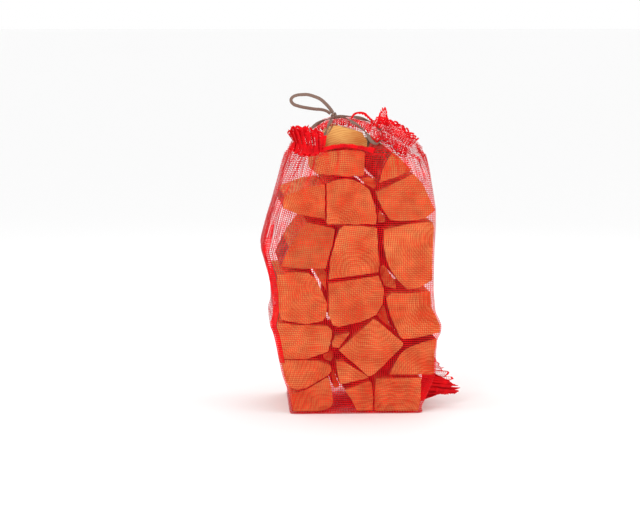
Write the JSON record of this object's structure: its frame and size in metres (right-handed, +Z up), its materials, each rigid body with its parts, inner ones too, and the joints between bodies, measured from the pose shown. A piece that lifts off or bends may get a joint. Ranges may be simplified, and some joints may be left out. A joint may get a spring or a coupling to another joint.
{
  "type": "birch firewood bundle",
  "caption": "Red net sack filled with split birch logs stacked in rows, its mouth gathered by a brown drawstring with a carrying loop.",
  "frame": {"origin": "middle of the flat base that the sack stands on", "axes": "+Z up through the sack's mouth, the sawn log ends and the front of the net face -Y, +X to the right as seen from the front"},
  "size_m": [0.34, 0.2503, 0.5413],
  "materials": {
    "birch_wood": "sawn ends, split faces and rough bark",
    "red_net": "open net of thin plastic threads",
    "brown_cord": "flat braid"
  },
  "bodies": {
    "root": {"log_top": "birch_wood", "log_row2_centre": "birch_wood", "log_row2_right": "birch_wood", "log_row3_left": "birch_wood", "log_row3_centre": "birch_wood", "log_row3_right": "birch_wood", "log_row4_left": "birch_wood", "log_row4_centre": "birch_wood", "log_row4_right": "birch_wood", "log_row5_left": "birch_wood", "log_row5_centre": "birch_wood", "log_row5_right": "birch_wood", "log_row6_left": "birch_wood", "log_row6_wedge": "birch_wood", "log_row6_diamond": "birch_wood", "log_row6_right": "birch_wood", "log_row7_left": "birch_wood", "log_row7_wedge": "birch_wood", "log_bottom_left": "birch_wood", "log_bottom_centre": "birch_wood", "log_bottom_right": "birch_wood", "stick_row2": "birch_wood", "stick_row3": "birch_wood", "stick_row4_left": "birch_wood", "stick_row4_right": "birch_wood", "stick_row5": "birch_wood", "stick_row6": "birch_wood", "stick_row7": "birch_wood", "net_sack": "red_net", "drawstring": "brown_cord", "drawstring_loop": "brown_cord", "drawstring_knot": "brown_cord"}
  },
  "joints": []
}
